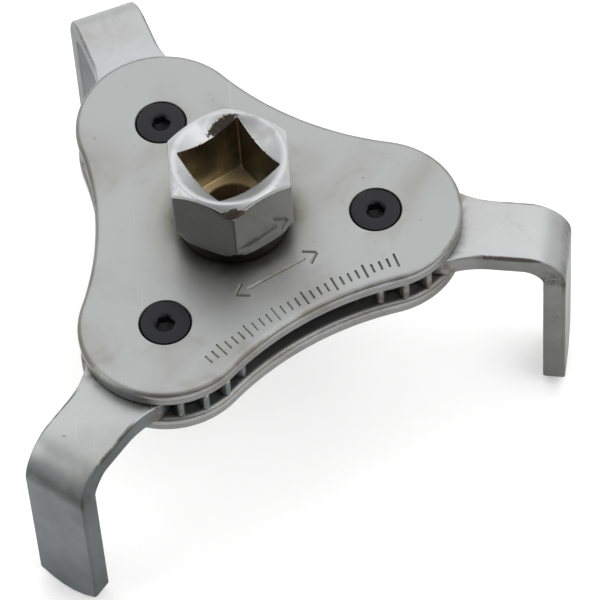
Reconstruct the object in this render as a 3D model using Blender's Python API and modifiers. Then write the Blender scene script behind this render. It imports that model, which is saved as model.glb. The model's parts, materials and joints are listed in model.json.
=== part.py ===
"""Three-jaw, two-way oil filter wrench, modelled at its real size.

A hub with a hexagonal outside and a square drive socket turns a small toothed
wheel held between two three-lobed plates. The wheel meshes with the toothed
root of each jaw, so the three bent jaws swing together about their own pivot
screws, inwards or outwards, whichever way the hub is turned.

Units are metres. +Z runs up the drive axis and z = 0 is the flat lower end of
the hub. +X points from the drive axis to the pivot of jaw_right.
"""

import math

import bmesh
import bpy
from mathutils import Matrix

MM = 0.001

# ---- clearances -----------------------------------------------------------
FIT = 0.3 * MM  # gap left between pieces that touch or turn on each other
OVERCUT = 1.0 * MM  # how far a cutter runs past the face it opens

# ---- the gear train -------------------------------------------------------
MODULE = 1.4143 * MM  # pitch diameter per tooth, common to hub wheel and jaws
WHEEL_TEETH = 15  # divisible by three, so all jaws mesh at the same phase
JAW_TEETH = 20  # teeth of a full circle; the strip takes the place of four
GEAR_PLAY = 1.34 * MM  # backlash on the pitch circle, as loose as the real tool
WHEEL_ADDENDUM = 0.97  # tooth height above the pitch circle, in modules
JAW_ADDENDUM = 0.61  # the same on the jaws, whose teeth are stubbed
PRESSURE_ANGLE = math.radians(20)

# ---- plates ---------------------------------------------------------------
PLATE_THICKNESS = 3.0 * MM
PLATE_MARGIN = 0.2 * MM  # plate beyond the tips of the jaw teeth
WAIST_SINK = 3.3 * MM  # how far each long side is hollowed between the lobes

# ---- jaws -----------------------------------------------------------------
STRIP_THICKNESS = 4.0 * MM
STRIP_WIDTH = 12.3 * MM
LEG_REACH = 33.8 * MM  # pivot axis to the outer face of the leg
LEG_DROP = 36.3 * MM  # top of the strip to the corners of the leg's tip
TIP_BULGE = 2.1 * MM  # how far the middle of the tip stands past its corners
BEND_RADIUS = 3.2 * MM  # inside radius of the bend
NECK_RUN = 7.8 * MM  # length of the hollow fillet from root to strip
NECK_ANGLE = math.radians(32)  # half angle of the root at the tooth tips

# ---- drive hub ------------------------------------------------------------
SQUARE = 12.8 * MM  # square socket for a half-inch drive
SOCKET_WALL = 1.27 * MM  # corner of the square to a hexagon flat
SOCKET_DEPTH = 14.2 * MM
MOUTH_MARGIN = 0.9 * MM  # hexagon flat to the edge of the countersunk mouth
MOUTH_DEPTH = 2.0 * MM
HEX_HEIGHT = 14.0 * MM
HEX_CHAMFER = 1.8 * MM  # height of the chamfer at the hexagon's corners
HEX_FOOT_CHAMFER = 0.5 * MM
COLLAR_HEIGHT = 3.2 * MM  # turned shoulder between the plate and the hexagon
COLLAR_STEP = 0.35 * MM  # collar inside the hexagon's flats
PILOT_DEPTH = 8.0 * MM  # blind hole in the floor of the socket
PILOT_WALL = 0.95 * MM  # metal between the pilot hole and the keyed section
GEAR_WEB = 0.9 * MM  # metal between the wheel's bore corners and its teeth
JOURNAL_STEP = 0.15 * MM  # upper journal outside the corners of the key
KEY_STEP = 0.2 * MM  # flats of the key outside the lower journal

# ---- retaining ring under the lower plate ---------------------------------
RING_THICKNESS = 1.0 * MM
RING_WIDTH = 2.2 * MM
GROOVE_DEPTH = 0.8 * MM
GROOVE_SHOULDER = 0.8 * MM  # hub below the groove
RING_GAP_ANGLE = math.radians(26)  # half angle of the ring's opening
LUG_RADIUS = 1.9 * MM
LUG_HOLE_RADIUS = 0.75 * MM

# ---- pivot screws and spacers ---------------------------------------------
SCREW_RADIUS = 2.5 * MM
SCREW_HEAD_RADIUS = 4.3 * MM
SCREW_HEAD_RIM = 0.3 * MM  # straight edge of the countersunk head
SCREW_RECESS = 0.1 * MM  # head below the face of the plate
SCREW_STANDOUT = 0.3 * MM  # thread end past the lower plate
KEY_ACROSS_FLATS = 3.0 * MM  # hexagon key recess
KEY_DEPTH = 2.2 * MM
SPACER_WALL = 1.4 * MM

# ---- how the pieces stand at rest -----------------------------------------
HEX_CORNER_AT = math.radians(-87.5)  # direction of one hexagon corner
SQUARE_CORNER_AT = math.radians(-101.5)  # direction of one socket corner
JAWS = (  # name, direction of the pivot, swing of the jaw from straight out
    ("right", 0.0, math.radians(-8.8)),
    ("rear_left", math.radians(120), math.radians(-10.8)),
    ("front_left", math.radians(240), math.radians(-6.8)),
)
MESH_SWING = JAWS[0][2]  # the swing at which the hub wheel is centred in mesh

# ---- levels and radii that follow from the values above -------------------
LOWER_PLATE_Z = GROOVE_SHOULDER + RING_THICKNESS + 2 * FIT
JAW_Z = LOWER_PLATE_Z + PLATE_THICKNESS + FIT
UPPER_PLATE_Z = JAW_Z + STRIP_THICKNESS + FIT
UPPER_FACE_Z = UPPER_PLATE_Z + PLATE_THICKNESS
HEX_Z = UPPER_FACE_Z + FIT + COLLAR_HEIGHT
HUB_TOP_Z = HEX_Z + HEX_HEIGHT
SOCKET_FLOOR_Z = HUB_TOP_Z - SOCKET_DEPTH

WHEEL_PITCH_R = MODULE * WHEEL_TEETH / 2
JAW_PITCH_R = MODULE * JAW_TEETH / 2
PIVOT_R = WHEEL_PITCH_R + JAW_PITCH_R
WHEEL_TIP_R = WHEEL_PITCH_R + WHEEL_ADDENDUM * MODULE
JAW_TIP_R = JAW_PITCH_R + JAW_ADDENDUM * MODULE
TOOTH_WIDTH = (math.pi * MODULE - GEAR_PLAY) / 2  # on the pitch circle
WHEEL_ROOT_R = PIVOT_R - JAW_TIP_R - FIT
JAW_ROOT_R = PIVOT_R - WHEEL_TIP_R - FIT
LOBE_R = JAW_TIP_R + PLATE_MARGIN

KEY_HALF = (WHEEL_ROOT_R - GEAR_WEB) / math.sqrt(2) - FIT
UPPER_JOURNAL_R = KEY_HALF * math.sqrt(2) + JOURNAL_STEP
LOWER_JOURNAL_R = KEY_HALF - KEY_STEP
PILOT_R = KEY_HALF - PILOT_WALL
HEX_HALF = SQUARE / math.sqrt(2) + SOCKET_WALL
SPACER_BORE_R = SCREW_RADIUS + FIT
SPACER_R = SPACER_BORE_R + SPACER_WALL

COARSE = 32
FINE = 64


# ---- scene ----------------------------------------------------------------
def empty_scene():
    for ob in list(bpy.data.objects):
        bpy.data.objects.remove(ob, do_unlink=True)


def new_collection(name):
    col = bpy.data.collections.new(name)
    bpy.context.scene.collection.children.link(col)
    return col


def new_material(name, colour, roughness, metallic):
    mat = bpy.data.materials.new(name)
    mat.use_nodes = True
    shader = mat.node_tree.nodes["Principled BSDF"]
    shader.inputs["Base Color"].default_value = (*colour, 1.0)
    shader.inputs["Roughness"].default_value = roughness
    shader.inputs["Metallic"].default_value = metallic
    mat.diffuse_color = (*colour, 1.0)
    mat.roughness = roughness
    mat.metallic = metallic
    return mat


def zinc_plate(name):
    return new_material(name, (0.42, 0.43, 0.42), 0.38, 1.0)


def bright_chrome(name):
    return new_material(name, (0.62, 0.62, 0.63), 0.08, 1.0)


def bare_steel(name):
    return new_material(name, (0.30, 0.29, 0.27), 0.45, 1.0)


def black_oxide(name):
    return new_material(name, (0.03, 0.032, 0.035), 0.42, 0.6)


# ---- modelling helpers ----------------------------------------------------
def point_at(radius, angle):
    return (radius * math.cos(angle), radius * math.sin(angle))


def arc(centre, radius, start, end, count):
    """Points along an arc, both ends included."""
    points = []
    for i in range(count + 1):
        x, y = point_at(radius, start + (end - start) * i / count)
        points.append((centre[0] + x, centre[1] + y))
    return points


def circle(radius, count, centre=(0.0, 0.0)):
    return arc(centre, radius, 0.0, 2 * math.pi, count)[:-1]


def regular_polygon(half_width, sides, corner_at):
    radius = half_width / math.cos(math.pi / sides)
    return [point_at(radius, corner_at + 2 * math.pi * i / sides) for i in range(sides)]


def evaluated_mesh(ob):
    """The object's shape with its modifiers applied, welded and facing out."""
    graph = bpy.context.evaluated_depsgraph_get()
    mesh = bpy.data.meshes.new_from_object(ob.evaluated_get(graph))
    bm = bmesh.new()
    bm.from_mesh(mesh)
    bmesh.ops.remove_doubles(bm, verts=bm.verts, dist=0.000001)
    bmesh.ops.recalc_face_normals(bm, faces=bm.faces)
    bm.to_mesh(mesh)
    bm.free()
    return mesh


def replace_with_mesh(ob):
    """Swap a curve, or an object with modifiers, for a plain mesh object."""
    mesh = evaluated_mesh(ob)
    solid = bpy.data.objects.new(ob.name + "_solid", mesh)
    bpy.context.scene.collection.objects.link(solid)
    solid.matrix_world = ob.matrix_world.copy()
    name = ob.name
    bpy.data.objects.remove(ob, do_unlink=True)
    solid.name = name
    mesh.name = name
    return solid


def extruded(name, loops, low, high):
    """A solid between two heights, from closed outlines in the XY plane."""
    data = bpy.data.curves.new(name, "CURVE")
    data.dimensions = "2D"
    data.fill_mode = "BOTH"
    data.extrude = (high - low) / 2
    for loop in loops:
        spline = data.splines.new("POLY")
        spline.points.add(len(loop) - 1)
        for point, (x, y) in zip(spline.points, loop):
            point.co = (x, y, 0.0, 1.0)
        spline.use_cyclic_u = True
    ob = bpy.data.objects.new(name, data)
    bpy.context.scene.collection.objects.link(ob)
    solid = replace_with_mesh(ob)
    solid.data.transform(Matrix.Translation((0.0, 0.0, (high + low) / 2)))
    return solid


def turned(name, profile, steps=FINE, closed=False):
    """A solid of revolution about Z, from (radius, height) points.

    The profile runs down its outer side; a closed one is a ring's section.
    """
    mesh = bpy.data.meshes.new(name)
    bm = bmesh.new()
    verts = [bm.verts.new((r, 0.0, z)) for r, z in profile]
    for first, second in zip(verts, verts[1:]):
        bm.edges.new((first, second))
    if closed:
        bm.edges.new((verts[-1], verts[0]))
    bm.to_mesh(mesh)
    bm.free()
    ob = bpy.data.objects.new(name, mesh)
    bpy.context.scene.collection.objects.link(ob)
    screw = ob.modifiers.new("turn", "SCREW")
    screw.axis = "Z"
    screw.steps = steps
    screw.render_steps = steps
    screw.use_merge_vertices = True
    screw.merge_threshold = 0.000001
    return replace_with_mesh(ob)


def combine(ob, tool, operation):
    """Apply one exact Boolean to ob and put the tool with the cutters."""
    step = ob.modifiers.new("combine", "BOOLEAN")
    step.operation = operation
    step.solver = "EXACT"
    step.object = tool
    result = replace_with_mesh(ob)
    bpy.context.scene.collection.objects.unlink(tool)
    CUTTERS.objects.link(tool)
    tool.hide_render = True
    tool.display_type = "WIRE"
    tool.name = "cutter_" + tool.name
    return result


def finished(ob, name, mat, at=(0.0, 0.0, 0.0), turn=0.0):
    """Name, place, colour and shade a finished piece."""
    ob.name = name
    ob.data.name = name
    ob.data.materials.clear()
    ob.data.materials.append(mat)
    ob.data.shade_smooth()
    ob.data.set_sharp_from_angle(angle=math.radians(30))
    ob.location = at
    ob.rotation_euler = (0.0, 0.0, turn)
    bpy.context.scene.collection.objects.unlink(ob)
    PARTS.objects.link(ob)
    return ob


# ---- gear teeth -----------------------------------------------------------
def involute(angle):
    return math.tan(angle) - angle


def tooth_half_angle(radius, pitch_r):
    """Half the angle a tooth fills at this radius; radial below its base."""
    base_r = pitch_r * math.cos(PRESSURE_ANGLE)
    at = math.acos(min(1.0, base_r / radius))
    return TOOTH_WIDTH / (2 * pitch_r) + involute(PRESSURE_ANGLE) - involute(at)


def tooth(pitch_r, root_r, tip_r, centre_angle, flank_points=4):
    """Outline of one tooth, counter-clockwise, from root to root."""
    radii = [root_r + (tip_r - root_r) * i / flank_points for i in range(flank_points + 1)]
    rising = [point_at(r, centre_angle - tooth_half_angle(r, pitch_r)) for r in radii]
    falling = [point_at(r, centre_angle + tooth_half_angle(r, pitch_r)) for r in reversed(radii)]
    return rising + falling


# ---- outlines -------------------------------------------------------------
def plate_outline():
    """Three lobes about the pivots, joined by hollow sides tangent to them."""
    half_span = PIVOT_R * math.sin(math.radians(60))
    tangent_at = PIVOT_R * math.cos(math.radians(60)) + LOBE_R
    # a hollow arc of radius R sinks WAIST_SINK below the common tangent
    reach = LOBE_R - WAIST_SINK / 2
    hollow_r = (half_span**2) / (2 * WAIST_SINK) - reach
    centre_d = tangent_at - WAIST_SINK + hollow_r
    points = []
    for _, at, _ in JAWS:
        lobe = point_at(PIVOT_R, at)
        before = point_at(centre_d, at - math.radians(60))
        after = point_at(centre_d, at + math.radians(60))
        start = math.atan2(before[1] - lobe[1], before[0] - lobe[0])
        end = math.atan2(after[1] - lobe[1], after[0] - lobe[0])
        while end < start:
            end += 2 * math.pi
        points += arc(lobe, LOBE_R, start, end, 28)
        middle = at + math.radians(60) + math.pi
        half = math.asin(half_span / (hollow_r + LOBE_R))
        points += arc(after, hollow_r, middle + half, middle - half, 18)[1:-1]
    return points


def wheel_outline(tooth_at):
    points = []
    pitch = 2 * math.pi / WHEEL_TEETH
    for i in range(WHEEL_TEETH):
        points += tooth(WHEEL_PITCH_R, WHEEL_ROOT_R, WHEEL_TIP_R, tooth_at + i * pitch)
    return points


def jaw_outline():
    """Plan of a jaw: toothed root, hollow neck and strip, seen from above."""
    pitch = 2 * math.pi / JAW_TEETH
    half = STRIP_WIDTH / 2
    end = LEG_REACH + OVERCUT
    corner = point_at(JAW_TIP_R, NECK_ANGLE)
    neck_end = corner[0] + NECK_RUN
    rise = corner[1] - half
    neck_r = (NECK_RUN**2 + rise**2) / (2 * rise)
    sweep = math.asin(NECK_RUN / neck_r)
    upper = arc((neck_end, half + neck_r), neck_r, -math.pi / 2, -math.pi / 2 - sweep, 8)
    lower = [(x, -y) for x, y in reversed(upper)]
    root_at = NECK_ANGLE + math.radians(6)
    teeth = []
    for i in range(JAW_TEETH):
        centre = pitch / 2 + i * pitch
        if root_at + pitch / 4 < centre < 2 * math.pi - root_at - pitch / 4:
            teeth += tooth(JAW_PITCH_R, JAW_ROOT_R, JAW_TIP_R, centre)
    points = [(end, -half), (end, half)] + upper
    points += [point_at(JAW_ROOT_R, root_at)] + teeth + [point_at(JAW_ROOT_R, -root_at)]
    return points + lower


def jaw_side_profile():
    """Side view of a jaw as (x, z): flat strip, bend and straight leg."""
    outer_r = BEND_RADIUS + STRIP_THICKNESS
    centre = (LEG_REACH - outer_r, STRIP_THICKNESS - outer_r)
    foot = STRIP_THICKNESS - LEG_DROP - TIP_BULGE - OVERCUT
    points = [(-JAW_TIP_R - OVERCUT, 0.0)]
    points += arc(centre, BEND_RADIUS, math.pi / 2, 0.0, 8)
    points += [(LEG_REACH - STRIP_THICKNESS, foot), (LEG_REACH, foot)]
    points += arc(centre, outer_r, 0.0, math.pi / 2, 10)
    points += [(-JAW_TIP_R - OVERCUT, STRIP_THICKNESS)]
    return points


def tip_outline():
    """Front view of the tip cutter as (y, z): everything past a shallow arc."""
    half = STRIP_WIDTH / 2
    radius = (half**2 + TIP_BULGE**2) / (2 * TIP_BULGE)
    corner_z = STRIP_THICKNESS - LEG_DROP
    centre = (0.0, corner_z - TIP_BULGE + radius)
    sweep = math.asin(min(1.0, half / radius)) * 1.1
    low = corner_z - TIP_BULGE - 3 * OVERCUT
    points = arc(centre, radius, -math.pi / 2 - sweep, -math.pi / 2 + sweep, 14)
    return points + [(points[-1][0] + OVERCUT, low), (points[0][0] - OVERCUT, low)]


# ---- pieces ---------------------------------------------------------------
def make_upper_plate():
    solid = extruded("upper", [plate_outline()], UPPER_PLATE_Z, UPPER_FACE_Z)
    bore = turned("hub_bore", cylinder_profile(
        UPPER_JOURNAL_R + FIT, UPPER_PLATE_Z - OVERCUT, UPPER_FACE_Z + OVERCUT))
    solid = combine(solid, bore, "DIFFERENCE")
    for name, at, _ in JAWS:
        seat = turned("seat_" + name, countersink_profile(), COARSE)
        seat.location = (*point_at(PIVOT_R, at), 0.0)
        bpy.context.view_layer.update()
        solid = combine(solid, seat, "DIFFERENCE")
    return finished(solid, "top_plate", zinc_plate("top_plate"))


def make_lower_plate():
    high = LOWER_PLATE_Z + PLATE_THICKNESS
    solid = extruded("lower", [plate_outline()], LOWER_PLATE_Z, high)
    bore = turned("journal_bore", cylinder_profile(
        LOWER_JOURNAL_R + FIT, LOWER_PLATE_Z - OVERCUT, high + OVERCUT))
    solid = combine(solid, bore, "DIFFERENCE")
    for name, at, _ in JAWS:
        hole = turned("hole_" + name, cylinder_profile(
            SCREW_RADIUS + FIT, LOWER_PLATE_Z - OVERCUT, high + OVERCUT), COARSE)
        hole.location = (*point_at(PIVOT_R, at), 0.0)
        bpy.context.view_layer.update()
        solid = combine(solid, hole, "DIFFERENCE")
    return finished(solid, "bottom_plate", zinc_plate("bottom_plate"))


def cylinder_profile(radius, low, high):
    return [(0.0, high), (radius, high), (radius, low), (0.0, low)]


def countersink_profile():
    """Hole for a pivot screw, opened out at 90 degrees under its head."""
    mouth = SCREW_HEAD_RADIUS + FIT
    hole = SCREW_RADIUS + FIT
    rim = UPPER_FACE_Z - SCREW_RECESS - SCREW_HEAD_RIM
    return [
        (0.0, UPPER_FACE_Z + OVERCUT),
        (mouth, UPPER_FACE_Z + OVERCUT),
        (mouth, rim),
        (hole, rim - (mouth - hole)),
        (hole, UPPER_PLATE_Z - OVERCUT),
        (0.0, UPPER_PLATE_Z - OVERCUT),
    ]


def hub_stem_profile():
    """Turned part of the hub below the hexagon, as (radius, height)."""
    groove_r = LOWER_JOURNAL_R - GROOVE_DEPTH
    groove_top = LOWER_PLATE_Z
    collar_r = HEX_HALF - COLLAR_STEP
    chamfer = 0.3 * MM
    return [
        (0.0, HEX_Z + OVERCUT),
        (collar_r, HEX_Z + OVERCUT),
        (collar_r, UPPER_FACE_Z + FIT),
        (UPPER_JOURNAL_R, UPPER_FACE_Z + FIT),
        (UPPER_JOURNAL_R, UPPER_PLATE_Z),
        (LOWER_JOURNAL_R, UPPER_PLATE_Z),
        (LOWER_JOURNAL_R, groove_top),
        (groove_r, groove_top),
        (groove_r, GROOVE_SHOULDER),
        (LOWER_JOURNAL_R, GROOVE_SHOULDER),
        (LOWER_JOURNAL_R, chamfer),
        (LOWER_JOURNAL_R - chamfer, 0.0),
        (0.0, 0.0),
    ]


def hex_envelope_profile():
    """Turned envelope that gives the hexagon its chamfered ends."""
    corner_r = HEX_HALF / math.cos(math.pi / 6)
    top_r = HEX_HALF - 0.2 * MM
    foot_r = corner_r - 0.4 * MM
    return [
        (0.0, HUB_TOP_Z),
        (top_r, HUB_TOP_Z),
        (corner_r, HUB_TOP_Z - HEX_CHAMFER),
        (corner_r + OVERCUT, HUB_TOP_Z - HEX_CHAMFER - OVERCUT),
        (corner_r + OVERCUT, HEX_Z + HEX_FOOT_CHAMFER + OVERCUT),
        (corner_r, HEX_Z + HEX_FOOT_CHAMFER),
        (foot_r, HEX_Z),
        (0.0, HEX_Z),
    ]


def make_hub():
    corners = regular_polygon(HEX_HALF, 6, HEX_CORNER_AT)
    head = extruded("hexagon", [corners], HEX_Z - OVERCUT, HUB_TOP_Z + OVERCUT)
    head = combine(head, turned("envelope", hex_envelope_profile()), "INTERSECT")
    key = regular_polygon(KEY_HALF, 4, key_corner_at())
    key_low = LOWER_PLATE_Z + PLATE_THICKNESS + FIT
    stem = turned("stem", hub_stem_profile())
    stem = combine(stem, extruded("key", [key], key_low, UPPER_PLATE_Z + OVERCUT), "UNION")
    hub = combine(head, stem, "UNION")
    socket = regular_polygon(SQUARE / 2, 4, SQUARE_CORNER_AT)
    hub = combine(
        hub, extruded("square", [socket], SOCKET_FLOOR_Z, HUB_TOP_Z + OVERCUT), "DIFFERENCE")
    hub = combine(hub, turned("mouth", mouth_profile()), "DIFFERENCE")
    pilot_low = SOCKET_FLOOR_Z - PILOT_DEPTH
    hub = combine(hub, turned("pilot", [
        (0.0, SOCKET_FLOOR_Z + OVERCUT),
        (PILOT_R, SOCKET_FLOOR_Z + OVERCUT),
        (PILOT_R, pilot_low),
        (0.0, pilot_low - PILOT_R * 0.3),
    ], COARSE), "DIFFERENCE")
    return finished(hub, "drive_hub", bright_chrome("drive_hub"))


def mouth_profile():
    """Cone that breaks the edges of the square at the top of the hub."""
    mouth_r = HEX_HALF - MOUTH_MARGIN
    flat_r = SQUARE / 2
    slope = (mouth_r - flat_r) / MOUTH_DEPTH
    return [
        (0.0, HUB_TOP_Z + OVERCUT),
        (mouth_r + slope * OVERCUT, HUB_TOP_Z + OVERCUT),
        (0.0, HUB_TOP_Z - mouth_r / slope),
    ]


def key_corner_at():
    return HEX_CORNER_AT + math.radians(45)


def make_wheel():
    """The wheel turns with the hub; its teeth are set to mesh at rest."""
    tooth_at = -MESH_SWING * JAW_TEETH / WHEEL_TEETH
    bore = regular_polygon(KEY_HALF + FIT, 4, key_corner_at())
    solid = extruded("wheel", [wheel_outline(tooth_at), bore], JAW_Z, JAW_Z + STRIP_THICKNESS)
    return finished(solid, "sun_gear", bare_steel("sun_gear"))


def make_retaining_ring():
    """Open spring ring with an eye at each end, opening towards -Y."""
    low = GROOVE_SHOULDER + FIT
    high = low + RING_THICKNESS
    inner = LOWER_JOURNAL_R - GROOVE_DEPTH + FIT
    outer = inner + RING_WIDTH
    band = extruded("band", [circle(outer, FINE), circle(inner, FINE)], low, high)
    reach = 2 * (outer + LUG_RADIUS)
    sides = [point_at(reach, -math.pi / 2 + turn * RING_GAP_ANGLE) for turn in (-1, 1)]
    wedge = extruded("ring_gap", [[(0.0, 0.0)] + sides], low - OVERCUT, high + OVERCUT)
    band = combine(band, wedge, "DIFFERENCE")
    eye_r = inner + LUG_RADIUS + 0.2 * MM
    for side, turn in (("left", -1), ("right", 1)):
        at = -math.pi / 2 + turn * (RING_GAP_ANGLE + LUG_RADIUS / eye_r)
        centre = point_at(eye_r, at)
        lug = extruded("lug_" + side, [circle(LUG_RADIUS, 24, centre)], low, high)
        band = combine(band, lug, "UNION")
        hole = circle(LUG_HOLE_RADIUS, 16, centre)
        eye = extruded("eye_" + side, [hole], low - OVERCUT, high + OVERCUT)
        band = combine(band, eye, "DIFFERENCE")
    return finished(band, "retaining_ring", black_oxide("retaining_ring"))


def jaw_mesh():
    """One jaw about its pivot axis, strip along +X, underside at z = 0."""
    foot = STRIP_THICKNESS - LEG_DROP - TIP_BULGE - 2 * OVERCUT
    side = extruded("side", [jaw_side_profile()], -JAW_TIP_R - OVERCUT, JAW_TIP_R + OVERCUT)
    side.data.transform(Matrix.Rotation(math.pi / 2, 4, "X"))
    plan = extruded("plan", [jaw_outline()], foot, STRIP_THICKNESS + OVERCUT)
    jaw = combine(side, plan, "INTERSECT")
    tip = extruded("tip", [tip_outline()], LEG_REACH - 2 * STRIP_THICKNESS, LEG_REACH + OVERCUT)
    upright = Matrix(((0, 0, 1, 0), (1, 0, 0, 0), (0, 1, 0, 0), (0, 0, 0, 1)))
    tip.data.transform(upright)
    jaw = combine(jaw, tip, "DIFFERENCE")
    bore = turned("eye", cylinder_profile(
        SPACER_R + FIT, -OVERCUT, STRIP_THICKNESS + OVERCUT), COARSE)
    return combine(jaw, bore, "DIFFERENCE")


def make_jaws():
    pattern = jaw_mesh()
    for name, at, swing in JAWS:
        jaw = bpy.data.objects.new("jaw_" + name, pattern.data.copy())
        bpy.context.scene.collection.objects.link(jaw)
        place = (*point_at(PIVOT_R, at), JAW_Z)
        finished(jaw, "jaw_" + name, zinc_plate("jaw_" + name), place, at + swing)
    bpy.data.objects.remove(pattern, do_unlink=True)


def make_screws():
    """Countersunk screws with a hexagon recess, one on each jaw's pivot."""
    top = UPPER_FACE_Z - SCREW_RECESS
    rim = top - SCREW_HEAD_RIM
    end = LOWER_PLATE_Z - SCREW_STANDOUT
    profile = [
        (0.0, top),
        (SCREW_HEAD_RADIUS - 0.15 * MM, top),
        (SCREW_HEAD_RADIUS, top - 0.15 * MM),
        (SCREW_HEAD_RADIUS, rim),
        (SCREW_RADIUS, rim - (SCREW_HEAD_RADIUS - SCREW_RADIUS)),
        (SCREW_RADIUS, end + 0.4 * MM),
        (SCREW_RADIUS - 0.4 * MM, end),
        (0.0, end),
    ]
    body = turned("screw", profile, COARSE)
    recess = regular_polygon(KEY_ACROSS_FLATS / 2, 6, math.radians(12))
    key = extruded("hex_key", [recess], top - KEY_DEPTH, top + OVERCUT)
    body = combine(body, key, "DIFFERENCE")
    for name, at, _ in JAWS:
        screw = bpy.data.objects.new("screw_" + name, body.data.copy())
        bpy.context.scene.collection.objects.link(screw)
        place = (*point_at(PIVOT_R, at), 0.0)
        finished(screw, "screw_" + name, black_oxide("screw_" + name), place, at)
    bpy.data.objects.remove(body, do_unlink=True)


def make_spacers():
    """Sleeves on the screws: the jaws turn on them and they space the plates."""
    low = JAW_Z
    high = JAW_Z + STRIP_THICKNESS
    section = [(SPACER_R, high), (SPACER_R, low), (SPACER_BORE_R, low), (SPACER_BORE_R, high)]
    for name, at, _ in JAWS:
        sleeve = turned("spacer_" + name, section, COARSE, closed=True)
        place = (*point_at(PIVOT_R, at), 0.0)
        finished(sleeve, "spacer_" + name, bare_steel("spacer_" + name), place)


empty_scene()
PARTS = new_collection("oil_filter_wrench")
CUTTERS = new_collection("cutters")
make_upper_plate()
make_lower_plate()
make_hub()
make_wheel()
make_retaining_ring()
make_jaws()
make_screws()
make_spacers()
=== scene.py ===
# %% [markdown]
# # A three-jaw oil filter wrench
# A hub with a square socket turns a small gear between two steel plates. The gear turns three
# bent jaws together, so they close on an oil filter whichever way the hub goes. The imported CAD
# model is the fixed frame of this lesson: every piece below is made where the CAD says, then
# takes the place of the CAD node that it details. All lengths are in metres, +Z is up, and the
# drive axis stands on the origin.

# %% Load the frame
import json
import math

import bmesh
import bpy
import numpy as np
from mathutils import Matrix, Vector


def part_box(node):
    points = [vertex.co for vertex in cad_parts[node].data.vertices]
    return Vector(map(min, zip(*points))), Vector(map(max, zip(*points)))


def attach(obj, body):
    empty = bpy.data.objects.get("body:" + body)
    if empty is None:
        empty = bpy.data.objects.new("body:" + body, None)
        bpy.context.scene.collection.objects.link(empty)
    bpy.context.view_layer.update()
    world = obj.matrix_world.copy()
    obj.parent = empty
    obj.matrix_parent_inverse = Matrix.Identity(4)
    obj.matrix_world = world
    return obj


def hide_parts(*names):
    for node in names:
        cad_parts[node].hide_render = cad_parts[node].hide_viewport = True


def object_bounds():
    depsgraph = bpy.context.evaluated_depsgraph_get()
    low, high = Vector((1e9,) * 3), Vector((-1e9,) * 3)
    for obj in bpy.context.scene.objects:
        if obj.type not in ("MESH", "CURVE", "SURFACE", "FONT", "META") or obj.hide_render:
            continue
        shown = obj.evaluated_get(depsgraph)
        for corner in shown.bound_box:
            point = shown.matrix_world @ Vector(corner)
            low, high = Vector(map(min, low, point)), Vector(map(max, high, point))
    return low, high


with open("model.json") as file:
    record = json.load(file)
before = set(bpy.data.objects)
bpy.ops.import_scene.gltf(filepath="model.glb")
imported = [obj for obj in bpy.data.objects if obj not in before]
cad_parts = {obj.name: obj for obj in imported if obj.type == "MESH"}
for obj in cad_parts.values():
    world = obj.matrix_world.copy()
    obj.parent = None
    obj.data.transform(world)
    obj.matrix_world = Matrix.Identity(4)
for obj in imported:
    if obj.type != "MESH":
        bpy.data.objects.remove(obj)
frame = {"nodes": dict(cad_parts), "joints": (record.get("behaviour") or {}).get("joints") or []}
cad_box = [list(corner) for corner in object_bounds()]
MM = 0.001
print("box in mm:", [[round(v / MM, 2) for v in corner] for corner in cad_box])

# %% [markdown]
# ## Sizes that come from the CAD
# Heights and radii are read from the boxes of the CAD nodes, and the pivots from the joints, so
# a change of the CAD model carries over. A jaw's direction at rest is the direction from its
# pivot to its leg, which hangs below everything else.

# %% Levels, radii and pivots
plate_low, plate_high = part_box("top_plate")
lower_low, lower_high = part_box("bottom_plate")
hub_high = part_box("drive_hub")[1]
screw_low, screw_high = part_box("screw_right")
sleeve_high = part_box("spacer_right")[1]
FACE_Z = plate_high.z
PIVOTS = {
    j["child"][4:]: Vector(j["pos_m"]) for j in frame["joints"] if j["child"].startswith("jaw_")
}
PIVOT_R = PIVOTS["right"].x
LOBE_R = plate_high.x - PIVOT_R


def leg_direction(name):
    """Angle in plan from a jaw's pivot to the middle of its leg."""
    points = np.array([v.co for v in frame["nodes"]["jaw_" + name].data.vertices])
    leg = points[points[:, 2] < lower_low.z - 5 * MM]  # nothing else reaches down this far
    middle = leg.mean(0)
    return math.atan2(middle[1] - PIVOTS[name].y, middle[0] - PIVOTS[name].x)


LEG_AT = {name: leg_direction(name) for name in PIVOTS}
print("pivot radius mm:", round(PIVOT_R / MM, 3), "lobe radius mm:", round(LOBE_R / MM, 3))
print("jaws stand at:", {n: round(math.degrees(a), 2) for n, a in LEG_AT.items()})

# %% [markdown]
# ## A short way to write node trees
# Materials and Geometry Nodes are both trees of sockets. One small class wraps an output socket
# so that sums can be written as sums, and a second one adds any node in a single call: its type,
# its settings, then what goes into its sockets. Settings come first because some of them change
# which sockets a node has.


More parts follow.
